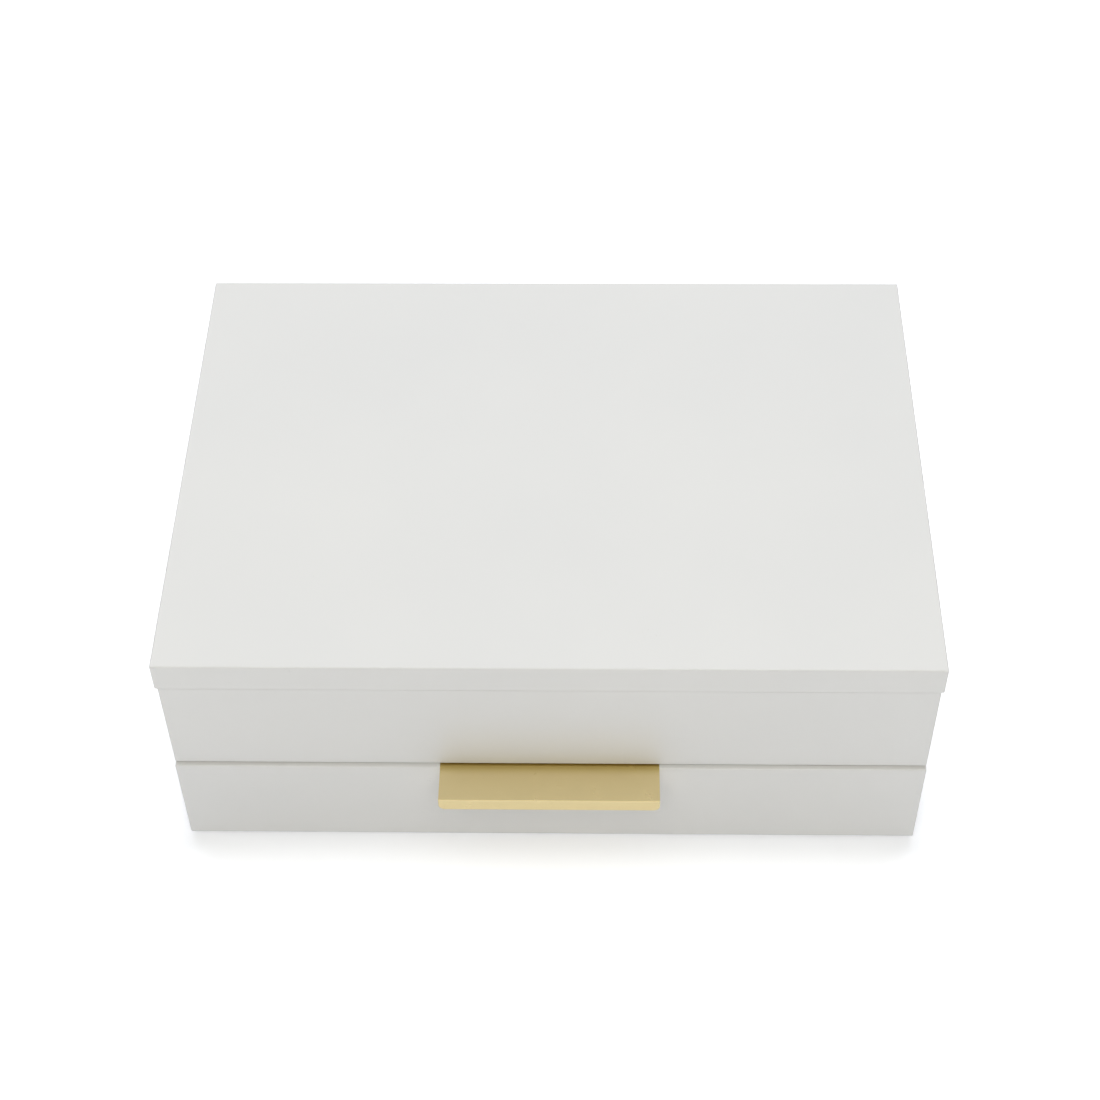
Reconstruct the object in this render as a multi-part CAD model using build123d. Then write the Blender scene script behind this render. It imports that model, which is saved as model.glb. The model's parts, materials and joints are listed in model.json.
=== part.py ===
"""Jewellery chest: a lacquered case with a hinged lid, a velvet-lined tray and one full-width drawer.

Millimetres. +X is to the right of someone facing the drawer, +Y runs to the back, +Z is up.
The origin is the centre of the felt base, on the surface that the chest stands on.
"""
from build123d import *
import os
from math import cos, radians, sin

# ---------------------------------------------------------------- driving dimensions
# Whole chest
LID_W, LID_D, LID_T = 280.0, 200.0, 12.8
HEIGHT = 105.0
LID_OVERHANG = 0.8      # past the case at the front and both sides, flush at the back
LID_GAP = 0.6           # between the case's rim and the lid, kept by the bumpers
EDGE_R = 0.6            # eased, lacquered outer edges
RIM_R = 0.5             # eased inner edge of the case's rim

# Case boards
WALL = 9.0
FLOOR_T = 5.0           # bottom board and tray shelf
FELT_T = 1.0
FELT_INSET = 3.0
SPLIT_Z = 46.6          # underside of the fixed front board
SHELF_HOUSING = 3.0     # how deep the shelf sits in the walls
BOTTOM_RABBET = 5.0

# Drawer
FRONT_LOW, FRONT_TOP = 2.0, 46.05
FRONT_T = 12.0
FRONT_PROUD = 1.5       # the drawer front stands this far in front of the case
FRONT_GAP = 0.8         # between the drawer front and the case, kept by the bumpers
BOX_CLEAR = 1.0         # each side of the drawer box
BOX_SIDE_T, BOX_BACK_T, BOX_BOTTOM_T = 10.0, 8.0, 4.0
BOX_LOW, BOX_TOP, BOX_BACK_TOP = 8.0, 43.0, 45.0
BOX_BACK_Y = 86.0
BOX_BOTTOM_Z = 10.0
GROOVE = 3.0            # how deep the drawer bottom sits in the sides, front and back
DADO = 4.0              # how deep the drawer sides sit in the drawer front
TRAVEL = 130.0

# Runners
RUNNER_L, RUNNER_H, RUNNER_T = 160.0, 7.0, 5.0
RUNNER_LOW = 22.0
RUNNER_BACK_Y = 76.0
RUNNER_GROOVE_DEPTH = 4.5
RUNNER_CLEAR = 0.3
RUNNER_END_CLEAR = 1.0
RUNNER_SCREW_Y = 0.4    # the outer screws' distance from the runner's middle, as a share of its length
STOP_W, STOP_T, STOP_DROP = 60.0, 6.0, 3.5

# Pull
PULL_W, PULL_T = 81.2, 1.5
PULL_REACH = 14.5       # in front of the drawer front
PULL_ABOVE = 0.1        # the tab's top lies this far above the drawer front's
PULL_LIP = 5.9
PULL_FLANGE = 20.0
PULL_BEND_R = 0.2
PULL_CORNER_R = 2.4
PULL_SCREW_X, PULL_SCREW_Z = 30.0, 31.0

# Hinges
HINGE_X, HINGE_L = 85.0, 30.0
LEAF_D, LEAF_T = 7.5, 1.5
BARREL_R, PIN_R, PIN_PLAY = 2.25, 1.1, 0.05
BARREL_OFF = 2.6        # pin axis behind the case's back face
KNUCKLE_HALF = 5.8      # half the length of the lid leaf's middle knuckle
KNUCKLE_GAP = 0.2
STOP_IN_R, STOP_OUT_R = 2.55, 4.3
LID_OPEN = 95.0
HEEL_FROM, HEEL_TO = LID_OPEN / 2 + 0.5, 80.0   # angles of the stop faces about the pin
HINGE_SCREW_X, HINGE_SCREW_IN = 9.0, 4.2

# Velvet linings, dividers and ring rolls
LINING_T = 1.5
LINING_TOP_DROP = 3.0
DIVIDER_T = 5.0
TRAY_DIVIDER_TOP = 85.0
RING_SECTION_W = 85.2
ROLL_COUNT, ROLL_GAP, ROLL_TOP = 8, 0.4, 88.5
ROLL_END_GAP = 0.8
DRAWER_LINING_TOP = 42.0
DRAWER_DIVIDER_TOP = 37.5
DRAWER_DIVIDER_X = 40.0

# Screws (shank radius, head radius, length) and bumpers
HINGE_SCREW = 0.9, 1.8, 8.0
RUNNER_SCREW = 1.0, 2.2, 11.0
STOP_SCREW = 1.0, 2.2, 8.0
PULL_SCREW = 1.4, 2.7, 8.5
BUMPER_R = 3.0
DRAWER_BUMPER_Z = 12.0, 38.0
PLAY = 0.05             # between a bumper and what it meets
STOP_PLAY = 0.2         # between the drawer's back and its stop, past the full travel

# Lid lining and mirror
LID_RECESS_X, LID_RECESS_Y, LID_RECESS = 128.0, 88.0, 3.0
LID_LINING_PROUD = 0.2
MIRROR_W, MIRROR_D, MIRROR_T, MIRROR_CORNER_R = 200.0, 130.0, 2.6, 8.0
MIRROR_BEVEL_W, MIRROR_BEVEL_T = 6.0, 0.6

# ---------------------------------------------------------------- places worked out from them
CASE_X = LID_W / 2 - LID_OVERHANG
CASE_Y = (LID_D - LID_OVERHANG) / 2
CASE_TOP = HEIGHT - LID_T - LID_GAP
LID_LOW = HEIGHT - LID_T
IN_X, IN_Y = CASE_X - WALL, CASE_Y - WALL
BOTTOM_TOP = FELT_T + FLOOR_T
SHELF_TOP = SPLIT_Z + FLOOR_T
FACE_Y = -CASE_Y - FRONT_PROUD
PULL_TOP = FRONT_TOP + PULL_ABOVE
FRONT_BACK_Y = FACE_Y + FRONT_T
NOTCH_Y = FRONT_BACK_Y + FRONT_GAP
BOX_X = IN_X - BOX_CLEAR
BOX_IN_X = BOX_X - BOX_SIDE_T
BOX_IN_BACK_Y = BOX_BACK_Y - BOX_BACK_T
BOX_FLOOR = BOX_BOTTOM_Z + BOX_BOTTOM_T
PIN_Y, PIN_Z = CASE_Y + BARREL_OFF, CASE_TOP + LID_GAP / 2
TRAY_X, TRAY_Y = IN_X - LINING_T, IN_Y - LINING_T
TRAY_FLOOR = SHELF_TOP + LINING_T
RING_DIVIDER_X = -TRAY_X + RING_SECTION_W
DRAWER_X = BOX_IN_X - LINING_T
DRAWER_FRONT_Y = FRONT_BACK_Y + LINING_T
DRAWER_BACK_Y = BOX_IN_BACK_Y - LINING_T
DRAWER_FLOOR = BOX_FLOOR + LINING_T
STOP_FRONT_Y = BOX_IN_BACK_Y - TRAVEL - STOP_PLAY - STOP_T
SIDES = {"left": -1, "right": 1}
TOUCH = 0.01            # two heights or places closer than this are the same


# ---------------------------------------------------------------- shapes used more than once
def block(x0, x1, y0, y1, z0, z1):
    """A box between two corners."""
    return Pos(x0, y0, z0) * Box(x1 - x0, y1 - y0, z1 - z0, align=(Align.MIN,) * 3)


def side_block(side, x_in, x_out, y0, y1, z0, z1):
    """A box on the left (side -1) or right (side 1), given by its distances from the middle."""
    x0, x1 = sorted((side * x_in, side * x_out))
    return block(x0, x1, y0, y1, z0, z1)


def bar_x(x0, x1, points):
    """A prism along X with a section of (y, z) points."""
    return extrude(Plane.YZ.offset(x0) * Polygon(*points, align=None), amount=x1 - x0, dir=(1, 0, 0))


def rod_x(x0, x1, radius, y, z):
    """A round bar along X."""
    return extrude(Plane.YZ.offset(x0) * Pos(y, z) * Circle(radius), amount=x1 - x0)


def disc(x, y, z0, z1, radius):
    """An upright disc."""
    return Pos(x, y, z0) * Cylinder(radius, z1 - z0, align=(Align.CENTER, Align.CENTER, Align.MIN))


def screw_body(shank_r, head_r, length):
    """A countersunk screw without its cross recess: head face at the origin, pointing down."""
    top = (Align.CENTER, Align.CENTER, Align.MAX)
    head_h = head_r - shank_r
    tip_h = 2 * shank_r
    head = Cone(shank_r, head_r, head_h, align=top)
    shank = Pos(0, 0, -head_h) * Cylinder(shank_r, length - head_h - tip_h, align=top)
    tip = Pos(0, 0, tip_h - length) * Cone(shank_r * 0.15, shank_r, tip_h, align=top)
    return head + shank + tip


def cross_recess(head_r):
    """The cross that a driver fits, cut into a screw's head."""
    arm, width, depth = head_r * 1.15, head_r * 0.22, head_r * 0.3
    return Box(arm, width, 2 * depth) + Box(width, arm, 2 * depth)


def screws(places, shank_r, head_r, length):
    """Whole screws, for cutting their seats, and the same screws with their cross recesses."""
    solid = [place * screw_body(shank_r, head_r, length) for place in places]
    finished = [place * (screw_body(shank_r, head_r, length) - cross_recess(head_r)) for place in places]
    return solid, finished


def cut(shape, tools):
    """shape with every tool cut out of it."""
    for tool in tools:
        shape = shape - tool
    return shape


# ---------------------------------------------------------------- case
def case_walls():
    """The four walls in one piece, with eased outer edges, before they are mitred apart."""
    outer = block(-CASE_X, CASE_X, -CASE_Y, CASE_Y, FELT_T, CASE_TOP)
    outer -= block(-CASE_X, CASE_X, -CASE_Y, NOTCH_Y, FELT_T, SPLIT_Z)
    inner_corner = [
        e for e in outer.edges().filter_by(Axis.X)
        if abs(e.center().Y - NOTCH_Y) < TOUCH and abs(e.center().Z - SPLIT_Z) < TOUCH
    ]
    outer = fillet([e for e in outer.edges() if e not in inner_corner], EDGE_R)
    cavity = block(-IN_X, IN_X, -IN_Y, IN_Y, FELT_T - 1, CASE_TOP + 1)
    walls = outer - cavity
    rim = [
        e for e in walls.edges()
        if abs(e.center().Z - CASE_TOP) < TOUCH and abs(e.center().X) < IN_X + TOUCH
        and abs(e.center().Y) < IN_Y + TOUCH
    ]
    return fillet(rim, RIM_R)


def mitre_wedge(name):
    """The part of the plan that belongs to one wall, bounded by the corner mitres."""
    far = LID_W + LID_D     # well outside the case
    point = CASE_X - CASE_Y
    if name in SIDES:
        side = SIDES[name]
        plan = [(side * point, 0), (side * (point + far), far), (side * (point + far), -far)]
    else:
        end = 1 if name == "back" else -1
        plan = [(0, -end * point), (far, end * (far - point)), (-far, end * (far - point))]
    return extrude(Polygon(*plan, align=None), amount=HEIGHT, dir=(0, 0, 1))


def tray_shelf():
    """The board between the tray and the drawer, housed in all four walls."""
    x, y = IN_X + SHELF_HOUSING, IN_Y + SHELF_HOUSING
    return block(-x, x, -y, y, SPLIT_Z, SHELF_TOP)


def case_bottom():
    """The bottom board, let into the sides and back, flush with their lower edges."""
    x = IN_X + BOTTOM_RABBET
    return block(-x, x, NOTCH_Y, IN_Y + BOTTOM_RABBET, FELT_T, BOTTOM_TOP)


def base_felt():
    """The felt sheet under the chest."""
    x = CASE_X - FELT_INSET
    return block(-x, x, NOTCH_Y + FELT_INSET, CASE_Y - FELT_INSET, 0, FELT_T)


# ---------------------------------------------------------------- hinges
def heel(x0, x1, r0, r1, side):
    """A stop face about the pin: below it on the case leaf (side -1), above it on the lid leaf."""
    points = []
    for r, turn in ((r0, HEEL_FROM), (r1, HEEL_FROM), (r1, HEEL_TO), (r0, HEEL_TO)):
        a = radians(side * turn)
        points.append((PIN_Y + r * cos(a), PIN_Z + r * sin(a)))
    return bar_x(x0, x1, points)


def hinge_plate(x, side):
    """A leaf's flat plate and its web to the barrel: side -1 on the case, 1 on the lid."""
    z0, z1 = sorted((PIN_Z + side * LID_GAP / 2, PIN_Z + side * (LID_GAP / 2 + LEAF_T)))
    return block(x - HINGE_L / 2, x + HINGE_L / 2, CASE_Y - LEAF_D, PIN_Y, z0, z1)


def case_leaf(x):
    """The case's leaf: two outer knuckles that hold the pin, and the bar that stops the lid."""
    leaf = hinge_plate(x, -1)
    leaf -= rod_x(x - KNUCKLE_HALF - KNUCKLE_GAP, x + KNUCKLE_HALF + KNUCKLE_GAP, BARREL_R + KNUCKLE_GAP,
                  PIN_Y, PIN_Z)
    for side in (-1, 1):
        near, far = sorted((x + side * (KNUCKLE_HALF + KNUCKLE_GAP), x + side * HINGE_L / 2))
        leaf += rod_x(near, far, BARREL_R, PIN_Y, PIN_Z)
        leaf += heel(near, far, PIN_R, STOP_OUT_R, -1)
    leaf += heel(x - HINGE_L / 2, x + HINGE_L / 2, STOP_IN_R, STOP_OUT_R, -1)
    return leaf - rod_x(x - HINGE_L, x + HINGE_L, PIN_R, PIN_Y, PIN_Z)


def lid_leaf(x):
    """The lid's leaf: the middle knuckle, running on the pin, and the tab that meets the stop bar."""
    leaf = hinge_plate(x, 1)
    for side in (-1, 1):
        near, far = sorted((x + side * KNUCKLE_HALF, x + side * (HINGE_L / 2 + 1)))
        leaf -= rod_x(near, far, BARREL_R + KNUCKLE_GAP, PIN_Y, PIN_Z)
    leaf += rod_x(x - KNUCKLE_HALF, x + KNUCKLE_HALF, BARREL_R, PIN_Y, PIN_Z)
    leaf += heel(x - KNUCKLE_HALF, x + KNUCKLE_HALF, PIN_R, STOP_OUT_R, 1)
    return leaf - rod_x(x - HINGE_L, x + HINGE_L, PIN_R + PIN_PLAY, PIN_Y, PIN_Z)


def hinge_screw_places(side):
    """Where the screws of one set of leaves go: side -1 down into the case, 1 up into the lid."""
    z = PIN_Z + side * LID_GAP / 2
    flip = Rot(180, 0, 0) if side > 0 else Rot(0, 0, 0)
    return [
        Pos(hinge + off, CASE_Y - HINGE_SCREW_IN, z) * flip
        for hinge in (-HINGE_X, HINGE_X) for off in (-HINGE_SCREW_X, HINGE_SCREW_X)
    ]


# ---------------------------------------------------------------- lid
def lid_panel():
    """The lid board, with eased edges and a shallow recess for its lining."""
    panel = block(-LID_W / 2, LID_W / 2, CASE_Y - LID_D, CASE_Y, LID_LOW, HEIGHT)
    panel = fillet(panel.edges(), EDGE_R)
    recess_top = LID_LOW + LID_RECESS
    return panel - block(-LID_RECESS_X, LID_RECESS_X, -LID_RECESS_Y, LID_RECESS_Y, LID_LOW, recess_top)


def mirror_blank(z0, z1):
    """The mirror's outline between two heights."""
    return Pos(0, 0, z0) * extrude(RectangleRounded(MIRROR_W, MIRROR_D, MIRROR_CORNER_R), amount=z1 - z0)


def lid_lining():
    """The padded frame round the mirror."""
    top, low = LID_LOW + LID_RECESS, LID_LOW - LID_LINING_PROUD
    frame = block(-LID_RECESS_X, LID_RECESS_X, -LID_RECESS_Y, LID_RECESS_Y, low, top)
    return frame - mirror_blank(low - 1, top + 1)


def lid_mirror():
    """The mirror, with a ground bevel round its face."""
    top = LID_LOW + LID_RECESS
    glass = mirror_blank(top - MIRROR_T, top)
    face = glass.faces().sort_by(Axis.Z)[0]
    return chamfer(face.edges(), MIRROR_BEVEL_W, MIRROR_BEVEL_T, reference=face)


# ---------------------------------------------------------------- drawer
def drawer_front():
    """The overlay front: eased edges, seats for the pull, dados for the sides, a groove for the bottom."""
    front = fillet(block(-CASE_X, CASE_X, FACE_Y, FRONT_BACK_Y, FRONT_LOW, FRONT_TOP).edges(), EDGE_R)
    for side in SIDES.values():
        front -= side_block(side, BOX_IN_X, BOX_X, FRONT_BACK_Y - DADO, FRONT_BACK_Y, BOX_LOW, BOX_TOP)
    return front


def drawer_side(side):
    """A drawer side with its runner groove, closed at the front."""
    board = side_block(side, BOX_IN_X, BOX_X, FRONT_BACK_Y - DADO, BOX_BACK_Y, BOX_LOW, BOX_TOP)
    groove_low, groove_top = RUNNER_LOW - RUNNER_CLEAR, RUNNER_LOW + RUNNER_H + RUNNER_CLEAR
    groove_front = RUNNER_BACK_Y - RUNNER_L - RUNNER_END_CLEAR
    return board - side_block(side, BOX_X - RUNNER_GROOVE_DEPTH, BOX_X, groove_front, BOX_BACK_Y,
                              groove_low, groove_top)


def drawer_back():
    """The drawer's back, between the sides and a little taller, so that it meets the stop."""
    return block(-BOX_IN_X, BOX_IN_X, BOX_IN_BACK_Y, BOX_BACK_Y, BOX_LOW, BOX_BACK_TOP)


def drawer_bottom():
    """The drawer's thin bottom, in grooves all round."""
    x = BOX_IN_X + GROOVE
    return block(-x, x, FRONT_BACK_Y - GROOVE, BOX_IN_BACK_Y + GROOVE, BOX_BOTTOM_Z, BOX_FLOOR)


def drawer_pull():
    """The folded pull: a flange behind the drawer front, a flat tab over it and a lip down in front."""
    edge = FACE_Y - PULL_REACH
    back = FRONT_BACK_Y
    outline = [
        (back, PULL_TOP - PULL_FLANGE), (back, PULL_TOP), (edge, PULL_TOP), (edge, PULL_TOP - PULL_LIP),
        (edge + PULL_T, PULL_TOP - PULL_LIP), (edge + PULL_T, PULL_TOP - PULL_T),
        (back - PULL_T, PULL_TOP - PULL_T), (back - PULL_T, PULL_TOP - PULL_FLANGE),
    ]
    pull = bar_x(-PULL_W / 2, PULL_W / 2, outline)
    bends = [
        e for e in pull.edges().filter_by(Axis.X)
        if abs(e.center().Z - PULL_TOP) < TOUCH
    ]
    pull = fillet(bends, PULL_BEND_R)
    corners = [
        e for e in pull.edges().filter_by(Axis.Y)
        if e.center().Y < FACE_Y and abs(e.center().Z - (PULL_TOP - PULL_LIP)) < TOUCH
    ]
    return fillet(corners, PULL_CORNER_R)


def pull_seat():
    """What the drawer front loses to the pull: its plain outline, without the lip."""
    x = PULL_W / 2
    seat = block(-x, x, FACE_Y - 1, FRONT_BACK_Y, PULL_TOP - PULL_T, PULL_TOP + 1)
    return seat + block(-x, x, FRONT_BACK_Y - PULL_T, FRONT_BACK_Y + 1, PULL_TOP - PULL_FLANGE, PULL_TOP)


# ---------------------------------------------------------------- runners and stop
def drawer_runner(side):
    """The strip that the drawer's groove slides on."""
    return side_block(side, IN_X - RUNNER_T, IN_X, RUNNER_BACK_Y - RUNNER_L, RUNNER_BACK_Y,
                      RUNNER_LOW, RUNNER_LOW + RUNNER_H)


def runner_screw_places():
    """Three screws through each runner into the case side."""
    y_mid = RUNNER_BACK_Y - RUNNER_L / 2
    places = []
    for side in SIDES.values():
        for off in (-RUNNER_SCREW_Y * RUNNER_L, 0, RUNNER_SCREW_Y * RUNNER_L):
            spot = Pos(side * (IN_X - RUNNER_T), y_mid + off, RUNNER_LOW + RUNNER_H / 2)
            places.append(spot * Rot(0, -90 * side, 0))
    return places


def drawer_stop():
    """The block under the shelf that the drawer's back meets at full travel."""
    return block(-STOP_W / 2, STOP_W / 2, STOP_FRONT_Y, STOP_FRONT_Y + STOP_T, SPLIT_Z - STOP_DROP, SPLIT_Z)


def stop_screw_places():
    """Two screws down through the shelf into the stop."""
    return [Pos(side * STOP_W / 3, STOP_FRONT_Y + STOP_T / 2, SHELF_TOP) for side in SIDES.values()]


# ---------------------------------------------------------------- linings, dividers and ring rolls
def lining_walls(prefix, x, y0, y1, z0, z1):
    """Four wall linings inside the rectangle of half-width x from y0 to y1."""
    made = {
        f"{prefix}_front": block(-x + LINING_T, x - LINING_T, y0, y0 + LINING_T, z0, z1),
        f"{prefix}_back": block(-x + LINING_T, x - LINING_T, y1 - LINING_T, y1, z0, z1),
    }
    for name, side in SIDES.items():
        made[f"{prefix}_{name}"] = side_block(side, x - LINING_T, x, y0, y1, z0, z1)
    return made


def ring_rolls():
    """Upright padded rolls side by side; a ring is pushed down between two of them."""
    x0, x1 = -TRAY_X + ROLL_END_GAP, RING_DIVIDER_X - ROLL_END_GAP
    pitch = 2 * TRAY_Y / ROLL_COUNT
    radius = (pitch - ROLL_GAP) / 2
    made = {}
    for i in range(ROLL_COUNT):
        y = -TRAY_Y + pitch * (i + 0.5)
        stem = block(x0, x1, y - radius, y + radius, TRAY_FLOOR, ROLL_TOP - radius)
        made[f"ring_roll_{i + 1}"] = stem + rod_x(x0, x1, radius, y, ROLL_TOP - radius)
    return made


def tray_dividers():
    """One divider beside the ring rolls, one across, and a short one behind it."""
    half = DIVIDER_T / 2
    right_of_rings = RING_DIVIDER_X + DIVIDER_T
    middle = (right_of_rings + TRAY_X) / 2
    z = TRAY_FLOOR, TRAY_DIVIDER_TOP
    return {
        "tray_divider_long": block(RING_DIVIDER_X, right_of_rings, -TRAY_Y, TRAY_Y, *z),
        "tray_divider_cross": block(right_of_rings, TRAY_X, -half, half, *z),
        "tray_divider_short": block(middle - half, middle + half, half, TRAY_Y, *z),
    }


def drawer_dividers():
    """Two dividers from front to back, and one across the right-hand compartment."""
    half = DIVIDER_T / 2
    mid_y = (DRAWER_FRONT_Y + DRAWER_BACK_Y) / 2
    z = DRAWER_FLOOR, DRAWER_DIVIDER_TOP
    made = {
        f"drawer_divider_{name}": side_block(side, DRAWER_DIVIDER_X - half, DRAWER_DIVIDER_X + half,
                                             DRAWER_FRONT_Y, DRAWER_BACK_Y, *z)
        for name, side in SIDES.items()
    }
    made["drawer_divider_cross"] = block(DRAWER_DIVIDER_X + half, DRAWER_X, mid_y - half, mid_y + half, *z)
    return made


# ---------------------------------------------------------------- the whole chest
def build():
    """Every node's shape by name."""
    parts = {}

    # Hinges
    for name, side in SIDES.items():
        x = side * HINGE_X
        parts[f"case_hinge_leaf_{name}"] = case_leaf(x)
        parts[f"lid_hinge_leaf_{name}"] = lid_leaf(x)
        parts[f"hinge_pin_{name}"] = rod_x(x - HINGE_L / 2, x + HINGE_L / 2, PIN_R, PIN_Y, PIN_Z)
    case_screws, parts["case_hinge_screws"] = screws(hinge_screw_places(-1), *HINGE_SCREW)
    lid_screws, parts["lid_hinge_screws"] = screws(hinge_screw_places(1), *HINGE_SCREW)

    # Case
    shelf, bottom = tray_shelf(), case_bottom()
    runner_screws, parts["runner_screws"] = screws(runner_screw_places(), *RUNNER_SCREW)
    stop_screws, parts["drawer_stop_screws"] = screws(stop_screw_places(), *STOP_SCREW)
    walls = case_walls() - shelf - bottom
    for name, side in SIDES.items():
        parts[f"case_side_{name}"] = cut(walls & mitre_wedge(name), runner_screws)
        parts[f"drawer_runner_{name}"] = cut(drawer_runner(side), runner_screws)
    parts["case_front"] = walls & mitre_wedge("front")
    plates = [hinge_plate(side * HINGE_X, -1) for side in SIDES.values()]
    parts["case_back"] = cut(walls & mitre_wedge("back"), plates + case_screws)
    parts["case_bottom"] = bottom
    parts["tray_shelf"] = cut(shelf, stop_screws)
    parts["base_felt"] = base_felt()
    parts["drawer_stop"] = cut(drawer_stop(), stop_screws)
    for name in SIDES:
        parts[f"case_hinge_leaf_{name}"] = cut(parts[f"case_hinge_leaf_{name}"], case_screws)
        parts[f"lid_hinge_leaf_{name}"] = cut(parts[f"lid_hinge_leaf_{name}"], lid_screws)

    # Tray
    parts["tray_lining_floor"] = block(-IN_X, IN_X, -IN_Y, IN_Y, SHELF_TOP, TRAY_FLOOR)
    parts.update(lining_walls("tray_lining", IN_X, -IN_Y, IN_Y, TRAY_FLOOR, CASE_TOP - LINING_TOP_DROP))
    parts.update(ring_rolls())
    parts.update(tray_dividers())

    # Lid
    plates = [hinge_plate(side * HINGE_X, 1) for side in SIDES.values()]
    parts["lid_panel"] = cut(lid_panel(), plates + lid_screws)
    parts["lid_lining"] = lid_lining()
    parts["lid_mirror"] = lid_mirror()
    bumper_x = CASE_X - WALL / 2
    parts["lid_bumpers"] = [
        disc(side * bumper_x, -CASE_Y + WALL / 2, CASE_TOP + PLAY, LID_LOW, BUMPER_R)
        for side in SIDES.values()
    ]

    # Drawer
    pull_screw_places = [
        Pos(side * PULL_SCREW_X, FRONT_BACK_Y, PULL_SCREW_Z) * Rot(-90, 0, 0) for side in SIDES.values()
    ]
    pull_screws, parts["drawer_pull_screws"] = screws(pull_screw_places, *PULL_SCREW)
    box_bottom = drawer_bottom()
    parts["drawer_front"] = cut(drawer_front(), [pull_seat(), box_bottom] + pull_screws)
    parts["drawer_pull"] = cut(drawer_pull(), pull_screws)
    for name, side in SIDES.items():
        parts[f"drawer_side_{name}"] = drawer_side(side) - box_bottom
    parts["drawer_back"] = drawer_back() - box_bottom
    parts["drawer_bottom"] = box_bottom
    parts["drawer_bumpers"] = [
        Pos(side * bumper_x, FRONT_BACK_Y, z) * Rot(-90, 0, 0)
        * Cylinder(BUMPER_R, FRONT_GAP - PLAY, align=(Align.CENTER, Align.CENTER, Align.MIN))
        for side in SIDES.values() for z in DRAWER_BUMPER_Z
    ]
    parts["drawer_lining_floor"] = block(
        -BOX_IN_X, BOX_IN_X, FRONT_BACK_Y, BOX_IN_BACK_Y, BOX_FLOOR, DRAWER_FLOOR
    )
    parts.update(lining_walls("drawer_lining", BOX_IN_X, FRONT_BACK_Y, BOX_IN_BACK_Y, DRAWER_FLOOR,
                              DRAWER_LINING_TOP))
    parts.update(drawer_dividers())
    return parts


os.makedirs("parts", exist_ok=True)
for node, shape in build().items():
    if isinstance(shape, list):
        shape = Compound(children=[solid for member in shape for solid in member.solids()])
    export_step(shape, f"parts/{node}.step")
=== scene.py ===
"""Looks of the jewellery chest: satin white lacquer, a brushed brass pull, and velvet inside.

Metres, in the CAD frame: +X right, +Y back, +Z up, origin on the surface that the chest stands on.
"""
import json
from math import pi, radians

import bpy
import numpy as np
from mathutils import Matrix, Vector


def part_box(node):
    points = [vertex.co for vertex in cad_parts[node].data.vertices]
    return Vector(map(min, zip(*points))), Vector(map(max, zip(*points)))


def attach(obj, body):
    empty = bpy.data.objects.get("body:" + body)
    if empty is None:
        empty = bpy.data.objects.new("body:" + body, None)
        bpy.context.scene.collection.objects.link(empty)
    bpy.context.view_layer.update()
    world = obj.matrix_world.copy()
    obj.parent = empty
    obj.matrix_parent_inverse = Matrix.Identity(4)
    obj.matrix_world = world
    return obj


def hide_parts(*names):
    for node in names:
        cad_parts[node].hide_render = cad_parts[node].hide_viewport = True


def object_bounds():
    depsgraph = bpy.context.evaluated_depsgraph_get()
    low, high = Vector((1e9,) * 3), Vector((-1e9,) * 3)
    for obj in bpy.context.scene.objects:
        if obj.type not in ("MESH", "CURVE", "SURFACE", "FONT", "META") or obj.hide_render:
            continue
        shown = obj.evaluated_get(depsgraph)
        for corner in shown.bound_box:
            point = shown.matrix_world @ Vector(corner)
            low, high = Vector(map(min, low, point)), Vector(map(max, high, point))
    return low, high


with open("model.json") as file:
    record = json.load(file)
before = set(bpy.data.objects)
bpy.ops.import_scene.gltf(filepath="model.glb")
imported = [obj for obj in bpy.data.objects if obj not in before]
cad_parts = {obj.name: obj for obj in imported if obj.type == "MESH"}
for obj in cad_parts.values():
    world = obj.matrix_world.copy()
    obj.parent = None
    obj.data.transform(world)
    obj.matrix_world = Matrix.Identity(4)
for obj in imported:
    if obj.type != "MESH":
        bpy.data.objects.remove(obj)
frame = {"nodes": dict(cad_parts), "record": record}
cad_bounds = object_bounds()

MM = 0.001


# ================================================================ camera, lights and floor
CAMERA_PLACE = Vector((0.0149, -0.5567, 0.6975))
CAMERA_PITCH_DOWN = radians(49.19)
CAMERA_TURN_LEFT = radians(1.67)
CAMERA_ROLL = radians(-1.03)
CAMERA_LENS = 69.95

FLOOR_REACH = 6.0
FLOOR_COLOUR = (0.90, 0.915, 0.965, 1)
FLOOR_GLOW = 0.135          # the table is lit through from below
FLOOR_GLOW_FAR = 0.9        # and runs up into a white background
FLOOR_FAR = (0.5, 3.0)      # from here to here
FLOOR_PAINTED_GLOW = (0.075, 0.40)  # painted light: glow that only the camera sees, rising from the chest's foot outward
FLOOR_PAINTED_GLOW_REACH = 18 * MM  # over this distance, which paints the floor's shadow faint and close to the chest
SKY_LIGHT = 0.10
SKY_GLOSS = (0.78, 1.0)     # what is glossy reflects this at the horizon and this overhead
SKY_SEEN = 1.02
COOL = (0.975, 1.0, 1.04)
WARM = (1.0, 0.98, 0.89)
SOFTBOXES = {
    "softbox_behind": {"place": (0.0, 0.9, 1.4), "size": (2.4, 1.6), "watts": 23.1, "colour": COOL},
    "softbox_above": {"place": (0.0, -0.5, 1.6), "size": (1.8, 1.0), "watts": 4.0, "colour": WARM},
    "softbox_front": {"place": (0.0, -1.15, 1.3), "size": (1.4, 1.0), "watts": 13.2, "colour": WARM},
}


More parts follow.
